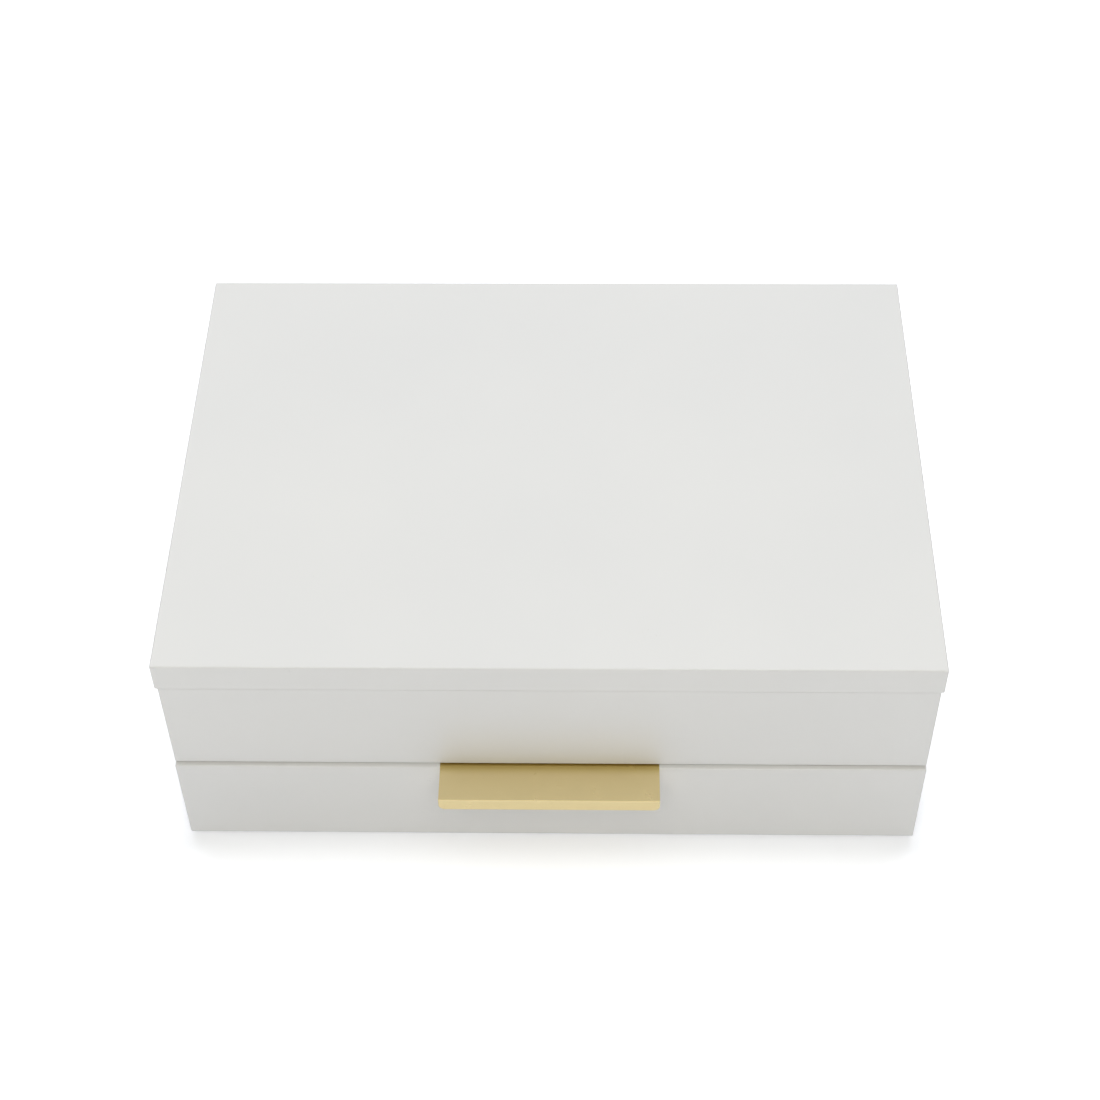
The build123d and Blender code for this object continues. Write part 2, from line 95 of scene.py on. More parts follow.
def add_camera():
    """The camera at the photograph's viewing angle."""
    data = bpy.data.cameras.new("camera")
    data.lens = CAMERA_LENS
    data.sensor_width = 36.0
    data.clip_start = 0.01
    data.clip_end = 50.0
    camera = bpy.data.objects.new("camera", data)
    turn = Matrix.Rotation(CAMERA_TURN_LEFT, 4, "Z")
    tilt = Matrix.Rotation(pi / 2 - CAMERA_PITCH_DOWN, 4, "X")
    roll = Matrix.Rotation(CAMERA_ROLL, 4, "Z")
    camera.matrix_world = Matrix.Translation(CAMERA_PLACE) @ turn @ tilt @ roll
    bpy.context.scene.collection.objects.link(camera)
    bpy.context.scene.camera = camera


def add_softbox(name, place, size, watts, colour):
    """A wide soft light aimed at the chest. Glossy things reflect the sky in its place."""
    data = bpy.data.lights.new(name, "AREA")
    data.color = colour
    data.shape = "RECTANGLE"
    data.size, data.size_y = size
    data.energy = watts
    light = bpy.data.objects.new(name, data)
    light.location = place
    light.rotation_euler = (-Vector(place)).to_track_quat("-Z", "Y").to_euler()
    light.visible_glossy = False
    bpy.context.scene.collection.objects.link(light)


def by_ray(tree, kind, otherwise, value):
    """A value for one kind of ray, and another for the rest."""
    path = tree.nodes.new("ShaderNodeLightPath")
    choice = tree.nodes.new("ShaderNodeMapRange")
    tree.links.new(path.outputs[kind], choice.inputs["Value"])
    for socket, source in (("To Min", otherwise), ("To Max", value)):
        if isinstance(source, bpy.types.NodeSocket):
            tree.links.new(source, choice.inputs[socket])
        else:
            choice.inputs[socket].default_value = source
    return choice.outputs["Result"]


def add_sky():
    """Even white light from all round. Glossy things reflect it brighter, and the camera sees plain white."""
    world = bpy.data.worlds.new("sky")
    world.use_nodes = True
    tree = world.node_tree
    background = tree.nodes["Background"]
    background.inputs["Color"].default_value = (1, 1, 1, 1)
    direction = tree.nodes.new("ShaderNodeTexCoord").outputs["Generated"]
    split = tree.nodes.new("ShaderNodeSeparateXYZ")
    tree.links.new(direction, split.inputs["Vector"])
    gloss = tree.nodes.new("ShaderNodeMapRange")
    tree.links.new(split.outputs["Z"], gloss.inputs["Value"])
    gloss.inputs["To Min"].default_value, gloss.inputs["To Max"].default_value = SKY_GLOSS
    reflected = by_ray(tree, "Is Glossy Ray", SKY_LIGHT, gloss.outputs["Result"])
    tree.links.new(by_ray(tree, "Is Camera Ray", reflected, SKY_SEEN), background.inputs["Strength"])
    bpy.context.scene.world = world


def add_floor():
    """The plain pale surface that the chest stands on: a lit table that runs into the background."""
    r = FLOOR_REACH
    floor = new_piece("floor", [(-r, -r, 0), (r, -r, 0), (r, r, 0), (-r, r, 0)], [(0, 1, 2, 3)])
    t = Tree("floor")
    away = t.distance_from_foot((cad_bounds[1][0], cad_bounds[1][1], 0))
    glow = t.combine("ADD", t.spread(away, 0, FLOOR_GLOW_FAR, *FLOOR_FAR), FLOOR_GLOW)
    # Painted light: a camera-only glow, low at the chest's foot and rising outward, which lightens the
    # floor's real shadow so it reads faint and short.
    painted_glow = t.combine("ADD", t.spread(away, *FLOOR_PAINTED_GLOW, 0, FLOOR_PAINTED_GLOW_REACH), glow)
    t.shader.inputs["Emission Color"].default_value = (1, 1, 1, 1)
    t.link(by_ray(t.tree, "Is Camera Ray", glow, painted_glow), t.shader.inputs["Emission Strength"])
    floor.data.materials.append(t.finish(FLOOR_COLOUR, 0.9))


# ================================================================ material helpers
class Tree:
    """One material and short calls that add nodes to it. Sizes are in metres."""

    def __init__(self, name):
        self.material = bpy.data.materials.new(name)
        self.material.use_nodes = True
        self.tree = self.material.node_tree
        self.shader = self.tree.nodes["Principled BSDF"]
        self.place = self.tree.nodes.new("ShaderNodeTexCoord").outputs["Object"]

    def link(self, source, socket):
        """Puts an output or a constant into an input."""
        if isinstance(source, bpy.types.NodeSocket):
            self.tree.links.new(source, socket)
        else:
            socket.default_value = source

    def noise(self, size, detail=2.0, stretch=(1, 1, 1), warp=0.0):
        """Noise about 0 to 1, with features of about this size, longer along an axis by its stretch."""
        mapping = self.tree.nodes.new("ShaderNodeMapping")
        mapping.inputs["Scale"].default_value = [1 / (size * s) for s in stretch]
        self.link(self.place, mapping.inputs["Vector"])
        node = self.tree.nodes.new("ShaderNodeTexNoise")
        node.inputs["Scale"].default_value = 1.0
        node.inputs["Detail"].default_value = detail
        node.inputs["Distortion"].default_value = warp
        self.link(mapping.outputs["Vector"], node.inputs["Vector"])
        return node.outputs["Fac"]

    def spread(self, value, low, high, start=0.3, stop=0.7):
        """Maps start to stop onto low to high, clamped."""
        node = self.tree.nodes.new("ShaderNodeMapRange")
        self.link(value, node.inputs["Value"])
        for name, number in (("From Min", start), ("From Max", stop), ("To Min", low), ("To Max", high)):
            node.inputs[name].default_value = number
        return node.outputs["Result"]

    def blend(self, amount, colour_a, colour_b):
        """A mix of two colours."""
        node = self.tree.nodes.new("ShaderNodeMix")
        node.data_type = "RGBA"
        colour_inputs = [socket for socket in node.inputs if socket.type == "RGBA"]
        self.link(amount, node.inputs["Factor"])
        self.link(colour_a, colour_inputs[0])
        self.link(colour_b, colour_inputs[1])
        return next(socket for socket in node.outputs if socket.type == "RGBA")

    def axis(self, letter):
        """The place along one axis, in metres."""
        node = self.tree.nodes.new("ShaderNodeSeparateXYZ")
        self.link(self.place, node.inputs["Vector"])
        return node.outputs[letter]

    def distance_from_foot(self, half):
        """How far a point of the floor is from a footprint that reaches half this way and that."""
        value = self.place
        steps = (("ABSOLUTE", None), ("SUBTRACT", half), ("MAXIMUM", (0, 0, 0)), ("LENGTH", None))
        for operation, other in steps:
            node = self.tree.nodes.new("ShaderNodeVectorMath")
            node.operation = operation
            self.link(value, node.inputs[0])
            if other is not None:
                node.inputs[1].default_value = other
            value = node.outputs["Value" if operation == "LENGTH" else "Vector"]
        return value

    def darker(self, colour, by=0.14):
        """The same colour a little darker."""
        return self.blend(by, colour, (0, 0, 0, 1))

    def combine(self, operation, a, b):
        """One sum of two values."""
        node = self.tree.nodes.new("ShaderNodeMath")
        node.operation = operation
        self.link(a, node.inputs[0])
        self.link(b, node.inputs[1])
        return node.outputs["Value"]

    def bump(self, height, depth, under=None):
        """A bump of this depth for a height of 0 to 1, on top of another bump."""
        node = self.tree.nodes.new("ShaderNodeBump")
        node.inputs["Strength"].default_value = 1.0
        node.inputs["Distance"].default_value = depth
        self.link(height, node.inputs["Height"])
        if under is not None:
            self.link(under, node.inputs["Normal"])
        return node.outputs["Normal"]

    def finish(self, colour, roughness, normal=None, **constants):
        """Fills in the shader. Constants name its sockets with underscores for spaces."""
        self.link(colour, self.shader.inputs["Base Color"])
        self.link(roughness, self.shader.inputs["Roughness"])
        if normal is not None:
            self.link(normal, self.shader.inputs["Normal"])
        for name, number in constants.items():
            self.shader.inputs[name.replace("_", " ")].default_value = number
        return self.material


def grey(level, warmth=0.0):
    """A neutral colour, a little yellower by warmth."""
    return (level, level * (1 - warmth * 0.3), level * (1 - warmth), 1)


# ================================================================ materials
def lacquer_white():
    """Satin lacquer: faint orange peel, a slow waviness, and slight differences in colour and gloss."""
    t = Tree("lacquer_white")
    cloud = t.noise(90 * MM, 3.0)
    colour = t.blend(t.spread(cloud, 0, 1), grey(0.735, 0.006), grey(0.755, 0.014))
    wiped = t.spread(t.noise(26 * MM, 4.0), 0.27, 0.34)
    speckle = t.spread(t.noise(0.7 * MM, 2.0), 0, 0.05)
    gloss = t.combine("ADD", wiped, speckle)
    peel = t.bump(t.noise(1.5 * MM, 1.5), 0.006 * MM, t.bump(t.noise(14 * MM, 1.0), 0.02 * MM))
    return t.finish(colour, gloss, peel, Specular_IOR_Level=0.5, Coat_Weight=0.18, Coat_Roughness=0.22)


def painted_board():
    """Thin matt paint over board: roller stipple and the board's fibres just showing through."""
    t = Tree("painted_board")
    fibre = t.noise(0.9 * MM, 3.0, stretch=(1, 9, 1))
    colour = t.blend(t.spread(fibre, 0, 1, 0.35, 0.65), grey(0.66, 0.05), grey(0.70, 0.04))
    rough = t.spread(t.noise(12 * MM, 3.0), 0.5, 0.68)
    stipple = t.bump(t.noise(0.8 * MM, 2.0), 0.02 * MM, t.bump(fibre, 0.015 * MM))
    return t.finish(colour, rough, stipple)


def runner_hardwood():
    """Waxed beech: long grain with the short dark flecks that beech has."""
    t = Tree("runner_hardwood")
    grain = t.noise(1.6 * MM, 4.0, stretch=(1, 22, 1), warp=0.4)
    fleck = t.noise(0.5 * MM, 1.0, stretch=(1, 5, 1))
    wood = t.blend(t.spread(grain, 0, 1), (0.56, 0.37, 0.21, 1), (0.70, 0.51, 0.32, 1))
    colour = t.blend(t.spread(fleck, 0, 0.6, 0.6, 0.68), wood, (0.33, 0.19, 0.10, 1))
    return t.finish(colour, t.spread(grain, 0.38, 0.52), t.bump(grain, 0.03 * MM))


def velvet(name, base, brushed, pile=0.28 * MM):
    """Short-pile velvet: patches where the nap lies another way, fine pile, and a soft sheen."""
    t = Tree(name)
    nap = t.noise(17 * MM, 3.0, warp=1.2)
    tuft = t.noise(pile, 2.0)
    streak = t.noise(1.1 * MM, 3.0, stretch=(1, 1, 3), warp=0.6)
    patch = t.blend(t.spread(nap, 0, 1, 0.36, 0.64), base, brushed)
    depth = t.combine("MULTIPLY", t.spread(tuft, 0, 1, 0.2, 0.6), t.spread(streak, 0.55, 1))
    dark = [channel * 0.62 for channel in base[:3]] + [1]
    colour = t.blend(t.spread(depth, 0, 1, 0.0, 0.75), dark, patch)
    normal = t.bump(tuft, 0.12 * MM, t.bump(streak, 0.05 * MM, t.bump(nap, 0.35 * MM)))
    return t.finish(colour, 0.85, normal, Sheen_Weight=0.55, Sheen_Roughness=0.38,
                    Sheen_Tint=(0.96, 0.93, 0.90, 1), Specular_IOR_Level=0.15)


def velvet_lining():
    return velvet("velvet_lining", (0.50, 0.455, 0.41, 1), (0.60, 0.555, 0.51, 1))


def ring_roll_velvet():
    return velvet("ring_roll_velvet", (0.53, 0.485, 0.44, 1), (0.62, 0.575, 0.53, 1), pile=0.32 * MM)


def base_felt():
    """Pressed wool felt: tangled fibres of slightly different greys."""
    t = Tree("base_felt")
    fibre = t.noise(0.6 * MM, 6.0, warp=2.5)
    clump = t.noise(7 * MM, 3.0)
    tone = t.combine("MULTIPLY", t.spread(fibre, 0.5, 1), t.spread(clump, 0.85, 1))
    colour = t.blend(tone, (0.17, 0.165, 0.155, 1), (0.46, 0.445, 0.42, 1))
    return t.finish(colour, 0.95, t.bump(fibre, 0.16 * MM), Sheen_Weight=0.3, Sheen_Roughness=0.6,
                    Specular_IOR_Level=0.1)


def brass(name, colour, rough, stretch, line=0.16 * MM, brushing=1.0, painted_shade=None):
    """Brass with fine lines along the stretched axis, as strong as its brushing, and faint cloudiness."""
    t = Tree(name)
    lines = t.noise(line, 4.0, stretch=stretch)
    cloud = t.noise(9 * MM, 4.0, warp=0.5)
    # A painted shade, if given, darkens the brass colour where shade falls on it.
    if painted_shade is not None:
        colour = painted_shade(t, colour)
    shade = t.combine("MULTIPLY", t.spread(lines, 1 - 0.65 * brushing, 1), t.spread(cloud, 0.8, 1))
    finish = t.combine("ADD", t.spread(lines, rough, rough + 0.08 * brushing), t.spread(cloud, 0, 0.05))
    normal = t.bump(lines, 0.004 * MM * brushing)
    return t.finish(t.blend(shade, t.darker(colour), colour), finish, normal, Metallic=1.0)


# Painted shade: deep gold that stands in for the shade and gold reflections along the back of the pull's
# plate.
PULL_ROOT_PAINTED_SHADE = (0.655, 0.505, 0.19, 1)


def painted_root_shade(t, colour):
    """Painted shade: a deeper tone along the back of the plate, where it passes under the board above,
    standing in for the shade and gold reflections there.
    """
    root = t.axis("Y")
    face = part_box("drawer_front")[0].y
    rise = t.spread(root, 0, 1, face - 4 * MM, face)
    fall = t.spread(root, 1, 0, face + 1 * MM, face + 5 * MM)
    amount = t.combine("MULTIPLY", t.combine("MULTIPLY", rise, rise), fall)
    return t.blend(amount, colour, PULL_ROOT_PAINTED_SHADE)


def pull_brass():
    # with a painted shade along the back of the plate, under the board above
    return brass("pull_brass", (0.865, 0.715, 0.39, 1), 0.22, (160, 1, 1), brushing=0.15,
                 painted_shade=painted_root_shade)


def hinge_brass():
    return brass("hinge_brass", (0.82, 0.66, 0.365, 1), 0.24, (60, 1, 1), line=0.12 * MM)


def screw_brass():
    return brass("screw_brass", (0.80, 0.64, 0.355, 1), 0.22, (1, 1, 1), line=0.25 * MM)


def mirror_glass():
    """Silvered glass with the faint smears of a wiped mirror."""
    t = Tree("mirror_glass")
    smear = t.noise(22 * MM, 5.0, stretch=(2.2, 1, 1), warp=0.8)
    colour = t.blend(t.spread(smear, 0, 1), (0.87, 0.885, 0.88, 1), (0.93, 0.94, 0.935, 1))
    return t.finish(colour, t.spread(smear, 0.012, 0.05, 0.45, 0.8), Metallic=1.0)


def clear_silicone():
    """Translucent soft silicone dots, with dust on them."""
    t = Tree("clear_silicone")
    dust = t.noise(0.4 * MM, 3.0)
    colour = t.blend(t.spread(dust, 0, 1, 0.55, 0.75), grey(0.86, 0.02), grey(0.72, 0.05))
    return t.finish(colour, t.spread(dust, 0.25, 0.5), t.bump(dust, 0.01 * MM),
                    Transmission_Weight=0.55, IOR=1.41)


MATERIALS = {
    make.__name__: make() for make in (
        lacquer_white, painted_board, runner_hardwood, velvet_lining, ring_roll_velvet, base_felt,
        pull_brass, hinge_brass, screw_brass, mirror_glass, clear_silicone,
    )
}
SLOT_OF = {part["node"]: part["material_slot"] for part in frame["record"]["subparts"]}


def dress_cad_nodes():
    """Gives every CAD node the material of its slot."""
    for node, obj in frame["nodes"].items():
        obj.data.materials.clear()
        obj.data.materials.append(MATERIALS[SLOT_OF[node]])


# ================================================================ mesh helpers
def new_piece(name, vertices, faces):
    """A smooth-shaded mesh object."""
    mesh = bpy.data.meshes.new(name)
    mesh.from_pydata([tuple(v) for v in vertices], [], faces)
    mesh.update()
    mesh.shade_smooth()
    piece = bpy.data.objects.new(name, mesh)
    bpy.context.scene.collection.objects.link(piece)
    return piece


def stand_for(piece, node, body):
    """piece takes a CAD node's place, material slot and motion."""
    piece.data.materials.append(MATERIALS[SLOT_OF[node]])
    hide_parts(node)
    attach(piece, body)


def waves(points, size, seed, count=7):
    """Smooth noise of about -1 to 1 at each point, from waves in seeded directions of about this length."""
    random = np.random.default_rng(seed)
    total = np.zeros(len(points))
    for _ in range(count):
        direction = random.normal(size=3)
        direction /= np.linalg.norm(direction)
        length = size * random.uniform(0.7, 1.6)
        total += np.sin(points @ direction * 2 * pi / length + random.uniform(0, 2 * pi))
    return total / np.sqrt(count)


BESIDE_MARK = (-2.4 * MM, -1.0 * MM, 0, 1.0 * MM, 2.4 * MM)
LEAST_STEP = 0.15 * MM
EDGE_POINTS = 4             # from a flat to the middle of a rounded edge


def stops(low, high, radius, step, marks=()):
    """Coordinates from low to high: fine at the rounded ends and beside each mark, even between."""
    near = radius * np.tan(np.linspace(0, pi / 4, EDGE_POINTS))
    ends = [low + radius - near, high - radius + near]
    inner = np.arange(low + radius + step, high - radius - step / 2, step)
    beside = [mark + off for mark in marks for off in BESIDE_MARK]
    values = np.unique(np.round(np.concatenate([*ends, inner, np.array(beside)]), 7))
    values = values[(values >= low - 1e-7) & (values <= high + 1e-7)]
    kept = [values[0]]
    for value in values[1:]:
        if value - kept[-1] > LEAST_STEP:
            kept.append(value)
    kept[-1] = high
    return np.array(kept)


def shell(xs, ys, zs):
    """The points and quads of a box's surface, cut at these coordinates."""
    index, points, faces = {}, [], []
    axes = (xs, ys, zs)
    counts = [len(a) for a in axes]

    def corner(key):
        if key not in index:
            index[key] = len(points)
            points.append([axes[a][key[a]] for a in range(3)])
        return index[key]

    for axis in range(3):
        u, v = (axis + 1) % 3, (axis + 2) % 3
        for end in (0, counts[axis] - 1):
            for i in range(counts[u] - 1):
                for j in range(counts[v] - 1):
                    ring = []
                    for du, dv in ((0, 0), (1, 0), (1, 1), (0, 1)):
                        key = [0, 0, 0]
                        key[axis], key[u], key[v] = end, i + du, j + dv
                        ring.append(corner(tuple(key)))
                    faces.append(ring if end else ring[::-1])
    return np.array(points), faces


def rounded(points, low, high, radius):
    """The points of a box's surface moved onto a rounded one, and the outward normals there."""
    core = np.clip(points, np.array(low) + radius, np.array(high) - radius)
    out = points - core
    out /= np.linalg.norm(out, axis=1)[:, None]
    return core + out * radius, out


# ================================================================ velvet-covered boards
LINING_EDGE = 0.6 * MM
DIVIDER_EDGE = 2.0 * MM
FELT_EDGE = 0.3 * MM
FULL_ROUND = 0.48               # an edge's largest radius as a share of the board's thickness
FLOOR_CROWN = 0.7 * MM          # how far a tray's padded floor rises
FLOOR_EDGE_REACH = 3.5 * MM     # and over what distance from the walls
FACES_UP = 0.9                  # the least upward part of a normal on the floor's top
BOARD_SWELL = (-0.35 * MM, 1.2 * MM)
BOARD_WAVE = 24 * MM
BOARD_RIPPLE = 7 * MM


def covered_board(node, body, seed, radius=LINING_EDGE, step=5 * MM, puff=0.10 * MM, marks=(), shape=None):
    """A thin board covered in velvet: rounded edges, a slight unevenness, and a shape of its own if given."""
    low, high = (np.array(corner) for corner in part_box(node))
    radius = min(radius, (high - low).min() * FULL_ROUND)
    grid = [stops(low[a], high[a], radius, step, [m[1] for m in marks if m[0] == a]) for a in range(3)]
    points, faces = shell(*grid)
    points, normals = rounded(points, low, high, radius)
    lift = puff * (0.7 * waves(points, BOARD_WAVE, seed) + 0.3 * waves(points, BOARD_RIPPLE, seed + 1))
    if shape is not None:
        lift = lift + shape(points, normals)
    points = points + normals * np.clip(lift, *BOARD_SWELL)[:, None]
    piece = new_piece(node + "_velvet", points, faces)
    stand_for(piece, node, body)
    return piece


def floor_shape(rooms, crown):
    """A pad that rises between the walls and dividers of each room and dips where they meet it."""
    def shape(points, normals):
        lift = np.zeros(len(points))
        for x0, x1, y0, y1 in rooms:
            x, y = points[:, 0], points[:, 1]
            edge = np.minimum.reduce([x - x0, x1 - x, y - y0, y1 - y])
            rise = crown * (1 - np.exp(-np.clip(edge, 0, None) / FLOOR_EDGE_REACH))
            lift += np.where((edge > 0) & (normals[:, 2] > FACES_UP), rise, 0)
        return lift
    return shape


def tray_rooms():
    """The floors of the three open compartments of the tray: x from, x to, y from, y to."""
    long_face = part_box("tray_divider_long")[1].x
    cross_low, cross_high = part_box("tray_divider_cross")
    short_low, short_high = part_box("tray_divider_short")
    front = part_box("tray_lining_front")[1].y
    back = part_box("tray_lining_back")[0].y
    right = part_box("tray_lining_right")[0].x
    return [
        (long_face, right, front, cross_low.y),
        (long_face, short_low.x, cross_high.y, back),
        (short_high.x, right, cross_high.y, back),
    ]


def drawer_rooms():
    """The floors of the drawer's four compartments: x from, x to, y from, y to."""
    left_low, left_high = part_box("drawer_divider_left")
    right_low, right_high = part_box("drawer_divider_right")
    cross_low, cross_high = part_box("drawer_divider_cross")
    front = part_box("drawer_lining_front")[1].y
    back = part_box("drawer_lining_back")[0].y
    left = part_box("drawer_lining_left")[1].x
    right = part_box("drawer_lining_right")[0].x
    return [
        (left, left_low.x, front, back),
        (left_high.x, right_low.x, front, back),
        (right_high.x, right, front, cross_low.y),
        (right_high.x, right, cross_high.y, back),
    ]


def cover_floor(node, body, rooms, seed):
    """The padded floor of a tray or drawer."""
    marks = {(0, x) for r in rooms for x in r[:2]} | {(1, y) for r in rooms for y in r[2:]}
    piece = covered_board(node, body, seed, step=4.5 * MM, marks=sorted(marks), puff=0.08 * MM,
                          shape=floor_shape(rooms, FLOOR_CROWN))


def cover_boards():
    """Every velvet lining and divider of the tray and the drawer, and the felt base."""
    cover_floor("tray_lining_floor", "case", tray_rooms(), seed=11)
    cover_floor("drawer_lining_floor", "drawer", drawer_rooms(), seed=12)
    for number, side in enumerate(("front", "back", "left", "right")):
        covered_board(f"tray_lining_{side}", "case", seed=20 + number)
        covered_board(f"drawer_lining_{side}", "drawer", seed=30 + number)
    for number, kind in enumerate(("long", "cross", "short")):
        covered_board(f"tray_divider_{kind}", "case", seed=40 + number, radius=DIVIDER_EDGE, step=4 * MM)
    for number, kind in enumerate(("left", "right", "cross")):
        covered_board(f"drawer_divider_{kind}", "drawer", seed=50 + number, radius=DIVIDER_EDGE, step=4 * MM)
    covered_board("base_felt", "case", seed=60, radius=FELT_EDGE, puff=0.0)


# ================================================================ cloth simulation
SIM_SCALE = 8.0     # the cloth solver is made for cushions, so small pads are simulated this much larger
SIM_FRAMES = 20
SIM_PRESSURE = 4.0


class Pad:
    """A padded piece on its way through the cloth simulation."""

    def __init__(self, piece, cap, hold):
        self.piece = piece
        self.cap = cap
        self.hold = hold


def remeshed(piece, voxel):
    """piece with an even mesh of this voxel size in place of its own."""
    modifier = piece.modifiers.new("remesh", "REMESH")
    modifier.mode = "VOXEL"
    modifier.voxel_size = voxel
    apply_modifiers(piece)


def apply_modifiers(piece):
    """Replaces a piece's mesh with what its modifiers make of it."""
    graph = bpy.context.evaluated_depsgraph_get()
    mesh = bpy.data.meshes.new_from_object(piece.evaluated_get(graph))
    piece.modifiers.clear()
    old = piece.data
    piece.data = mesh
    mesh.name = piece.name
    bpy.data.meshes.remove(old)
    mesh.shade_smooth()


def coordinates(piece):
    """A piece's vertices as an array."""
    values = np.empty(len(piece.data.vertices) * 3)
    piece.data.vertices.foreach_get("co", values)
    return values.reshape(-1, 3)


def set_coordinates(piece, points):
    """Moves a piece's vertices."""
    piece.data.vertices.foreach_set("co", np.ascontiguousarray(points, float).ravel())
    piece.data.update()


def subdivided(piece):
    """Smooths a piece by one level of subdivision."""
    modifier = piece.modifiers.new("subdivide", "SUBSURF")
    modifier.levels = 1
    modifier.render_levels = 1


def inflate(pads):
    """Simulates all pads at once as cloth under pressure, each held where it says, and caps their swell."""
    starts = []
    for pad in pads:
        start = coordinates(pad.piece)
        starts.append(start)
        set_coordinates(pad.piece, start * SIM_SCALE)
        group = pad.piece.vertex_groups.new(name="held")
        for index, weight in enumerate(pad.hold(start)):
            if weight > 0:
                group.add([index], float(weight), "REPLACE")
        cloth = pad.piece.modifiers.new("cloth", "CLOTH")
        cloth.settings.quality = 6
        cloth.settings.use_pressure = True
        cloth.settings.uniform_pressure_force = SIM_PRESSURE
        cloth.settings.vertex_group_mass = "held"
        cloth.settings.tension_stiffness = 20
        cloth.settings.compression_stiffness = 20
        cloth.settings.bending_stiffness = 0.3
        cloth.settings.effector_weights.gravity = 0
        cloth.collision_settings.use_collision = False
        cloth.point_cache.frame_end = SIM_FRAMES
    scene = bpy.context.scene
    for number in range(1, SIM_FRAMES + 1):
        scene.frame_set(number)
    for pad, start in zip(pads, starts):
        apply_modifiers(pad.piece)
        moved = coordinates(pad.piece) / SIM_SCALE - start
        far = np.linalg.norm(moved, axis=1)
        scale = pad.cap * np.tanh(far / pad.cap) / np.maximum(far, 1e-9)
        set_coordinates(pad.piece, start + moved * scale[:, None])
        pad.piece.vertex_groups.clear()
    scene.frame_set(1)


# ================================================================ ring rolls
ROLL_VOXEL = 1.5 * MM
ROLL_SLACK = 0.5 * MM
ROLL_CAP = 1.1 * MM
ROLL_ARC_POINTS = 17
ROLL_FREE = 8 * MM          # the height over which a roll's unevenness grows from its foot
ROLL_UNEVEN = 0.22 * MM
ROLL_WAVE = 30 * MM
ROLL_FOOT = 2.5 * MM        # held at the foot
ROLL_SEAM = 2.2 * MM        # and along the seam round each end
ROLL_PRESS = 0.15 * MM      # how far neighbouring rolls may press past their own half of the room
ROLL_END_SWELL = 0.6 * MM


def roll_start(name, low, high, seed):
    """A roll before it is padded: straight sides, a half-round top, a little small and uneven."""
    low, high = np.array(low), np.array(high)
    middle = (low[1] + high[1]) / 2
    half = (high[1] - low[1]) / 2 - ROLL_SLACK
    top = high[2] - ROLL_SLACK
    arc = np.linspace(0, pi, ROLL_ARC_POINTS)
    section = [(middle - half, low[2]), (middle + half, low[2])]
    section += [(middle + half * np.cos(a), top - half + half * np.sin(a)) for a in arc]
    ends = (low[0] + ROLL_SLACK, high[0] - ROLL_SLACK)
    count = len(section)
    points = np.array([(x, y, z) for x in ends for y, z in section])
    faces = [[i, (i + 1) % count, count + (i + 1) % count, count + i] for i in range(count)]
    faces += [list(range(count))[::-1], list(range(count, 2 * count))]
    piece = new_piece(name, points, faces)
    remeshed(piece, ROLL_VOXEL)
    points = coordinates(piece)
    free = np.clip((points[:, 2] - low[2]) / ROLL_FREE, 0, 1)
    points[:, 2] += ROLL_UNEVEN * waves(points, ROLL_WAVE, seed) * free
    set_coordinates(piece, points)
    return piece


def roll_hold(low, high):
    """A roll is held at its foot and along the seam round each end."""
    def hold(points):
        foot = points[:, 2] < low[2] + ROLL_FOOT
        half = (high[1] - low[1]) / 2
        aside = points[:, 1] - (low[1] + high[1]) / 2
        above = np.maximum(points[:, 2] - (high[2] - half), 0)
        reach = np.hypot(aside, above)
        from_end = np.minimum(points[:, 0] - low[0], high[0] - points[:, 0])
        seam = (from_end < ROLL_SEAM) & (reach > half - ROLL_SEAM)
        return np.where(foot | seam, 1.0, 0.0)
    return hold


def make_ring_rolls():
    """The eight rolls as padded velvet, ready for the simulation."""
    pads = []
    for number in range(1, 9):
        node = f"ring_roll_{number}"
        low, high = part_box(node)
        piece = roll_start(node + "_velvet", low, high, seed=70 + number)
        pads.append(Pad(piece, ROLL_CAP, roll_hold(low, high)))
    return pads


def settle_ring_rolls(pads):
    """Presses neighbouring rolls flat against each other, keeps their ends within a slight swell, and smooths
    them.
    """
    for number, pad in enumerate(pads, start=1):
        node = f"ring_roll_{number}"
        low, high = (np.array(corner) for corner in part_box(node))
        points = coordinates(pad.piece)
        middle = (low[1] + high[1]) / 2
        reach = (high[1] - low[1]) / 2 + ROLL_PRESS
        points[:, 1] = middle + np.clip(points[:, 1] - middle, -reach, reach)
        points[:, 0] = np.clip(points[:, 0], low[0] - ROLL_END_SWELL, high[0] + ROLL_END_SWELL)
        points[:, 2] = np.maximum(points[:, 2], low[2])
        set_coordinates(pad.piece, points)
        smooth = pad.piece.modifiers.new("smooth", "SMOOTH")
        smooth.factor = 0.5
        smooth.iterations = 3
        subdivided(pad.piece)
        stand_for(pad.piece, node, "case")


# ================================================================ lid lining
LINING_STEP = 2.5 * MM
LINING_ACROSS = 14
LINING_CROWN = 1.8 * MM
LINING_SHAPE = 2.6          # 2 is an ellipse, and more is flatter with rounder shoulders
LINING_GAP = 0.25 * MM
LINING_OVERLAP = 0.9 * MM   # of the rolled inner edge over the mirror's bevel
BEVEL_LIFT = 0.35 * MM      # from the mirror's face back to where the rolled edge meets its bevel
LINING_CORNER = 8           # steps round each corner
HELD = 4                    # points fixed down at a section's start, and one fewer at its end
LINING_INNER_R = 8 * MM
LINING_OUTER_R = 2.5 * MM
LINING_CAP = 0.6 * MM
RIPPLE = 9 * MM
RIPPLE_DEPTH = 0.07 * MM
SWELL = 30 * MM
SWELL_DEPTH = 0.12 * MM
GATHER_DEPTH = 0.16 * MM
GATHER_WAVE = 6 * MM
GATHER_REACH = 9 * MM
SEAM_DEPTH = 1.0 * MM
SEAM_REACH = 0.8            # in steps


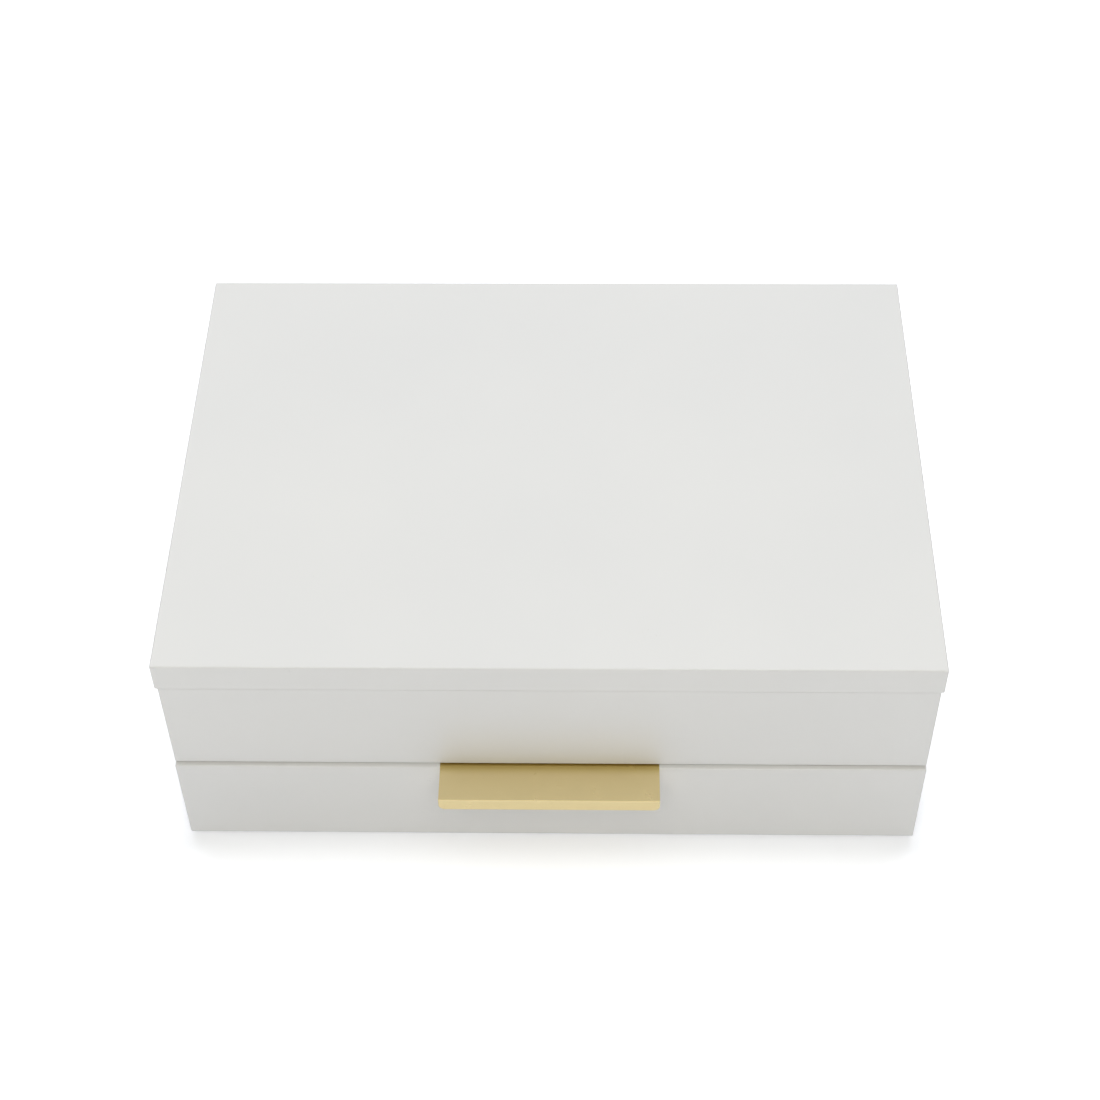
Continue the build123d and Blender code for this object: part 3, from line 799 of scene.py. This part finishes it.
def rounded_loop(half_x, half_y, radius, per_side, per_corner):
    """Points round a rounded rectangle, the same number for any size, from the middle of the right side."""
    loop = []
    for turn in range(4):
        a, b = (half_x, half_y) if turn % 2 == 0 else (half_y, half_x)
        local = [(a, y) for y in np.linspace(-(b - radius), b - radius, per_side[turn % 2], endpoint=False)]
        corner = np.linspace(0, pi / 2, per_corner, endpoint=False)
        local += [(a - radius + radius * np.cos(c), b - radius + radius * np.sin(c)) for c in corner]
        cos, sin = ((1, 0), (0, 1), (-1, 0), (0, -1))[turn]
        loop += [(x * cos - y * sin, x * sin + y * cos) for x, y in local]
    return np.array(loop)


def lining_section(inner, outer, by_glass, by_board, back, crown):
    """One section of the padded frame, from its back at the mirror over its face to its back at the edge."""
    width = np.linalg.norm(outer - inner)
    outward = (outer - inner) / width
    points = [(*inner, back), (*inner, by_glass)]
    for angle in np.linspace(0, pi, LINING_ACROSS + 1):
        share = (1 - np.cos(angle)) / 2
        place = inner + outward * (share * (width + LINING_OVERLAP) - LINING_OVERLAP)
        swell = (1 - abs(2 * share - 1) ** LINING_SHAPE) ** (1 / LINING_SHAPE)
        points.append((*place, by_glass + (by_board - by_glass) * share - crown * swell))
    points.append((*outer, back))
    return points


def make_lid_lining():
    """The padded frame round the mirror: crowned across its width, with a seam across each corner."""
    low, high = (np.array(corner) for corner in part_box("lid_lining"))
    glass_low, glass_high = (np.array(corner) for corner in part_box("lid_mirror"))
    out_x, out_y = high[0] - LINING_GAP, high[1] - LINING_GAP
    in_x, in_y = glass_high[0] + LINING_GAP, glass_high[1] + LINING_GAP
    by_glass = glass_low[2] + BEVEL_LIFT
    per_side = (round(2 * in_y / LINING_STEP), round(2 * in_x / LINING_STEP))
    inner = rounded_loop(in_x, in_y, LINING_INNER_R, per_side, LINING_CORNER)
    outer = rounded_loop(out_x, out_y, LINING_OUTER_R, per_side, LINING_CORNER)
    count = len(inner)
    sides = np.cumsum([per_side[turn % 2] + LINING_CORNER for turn in range(4)])
    seams = sides - LINING_CORNER // 2
    points, held = [], []
    for index in range(count):
        from_seam = abs(seams - index).min()
        crown = LINING_CROWN - SEAM_DEPTH * np.exp(-(from_seam / SEAM_REACH) ** 2)
        section = lining_section(inner[index], outer[index], by_glass, low[2], high[2], crown)
        size = len(section)
        points += section
        held += [1.0 if from_seam == 0 or k < HELD or k > size - HELD else 0.0 for k in range(size)]
    faces = []
    for index in range(count):
        here, following = index * size, (index + 1) % count * size
        for k in range(size):
            n = (k + 1) % size
            faces.append([here + k, following + k, following + n, here + n])
    piece = new_piece("lid_lining_velvet", points, faces)
    return Pad(piece, LINING_CAP, lambda _: held)


def settle_lid_lining(pad):
    """Adds the lining's slight unevenness, the gathers beside its corner seams, and the final smoothing."""
    points = coordinates(pad.piece)
    low, high = (np.array(corner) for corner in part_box("lid_lining"))
    from_mitre = abs((high[0] - abs(points[:, 0])) - (high[1] - abs(points[:, 1])))
    uneven = RIPPLE_DEPTH * waves(points, RIPPLE, 90) + SWELL_DEPTH * waves(points, SWELL, 91)
    gathers = GATHER_DEPTH * waves(points, GATHER_WAVE, 92) * np.exp(-from_mitre / GATHER_REACH)
    points[:, 2] += np.where(points[:, 2] < low[2], uneven + gathers, 0)
    set_coordinates(pad.piece, points)
    subdivided(pad.piece)
    stand_for(pad.piece, "lid_lining", "lid")


# ================================================================ everything
add_camera()
add_sky()
for softbox, settings in SOFTBOXES.items():
    add_softbox(softbox, **settings)
add_floor()
dress_cad_nodes()
cover_boards()
rolls = make_ring_rolls()
lining = make_lid_lining()
inflate([*rolls, lining])
settle_ring_rolls(rolls)
settle_lid_lining(lining)

scene = bpy.context.scene
scene.view_settings.view_transform = "Standard"
scene.view_settings.look = "None"
scene.view_settings.exposure = 0.0
scene.view_settings.gamma = 1.0
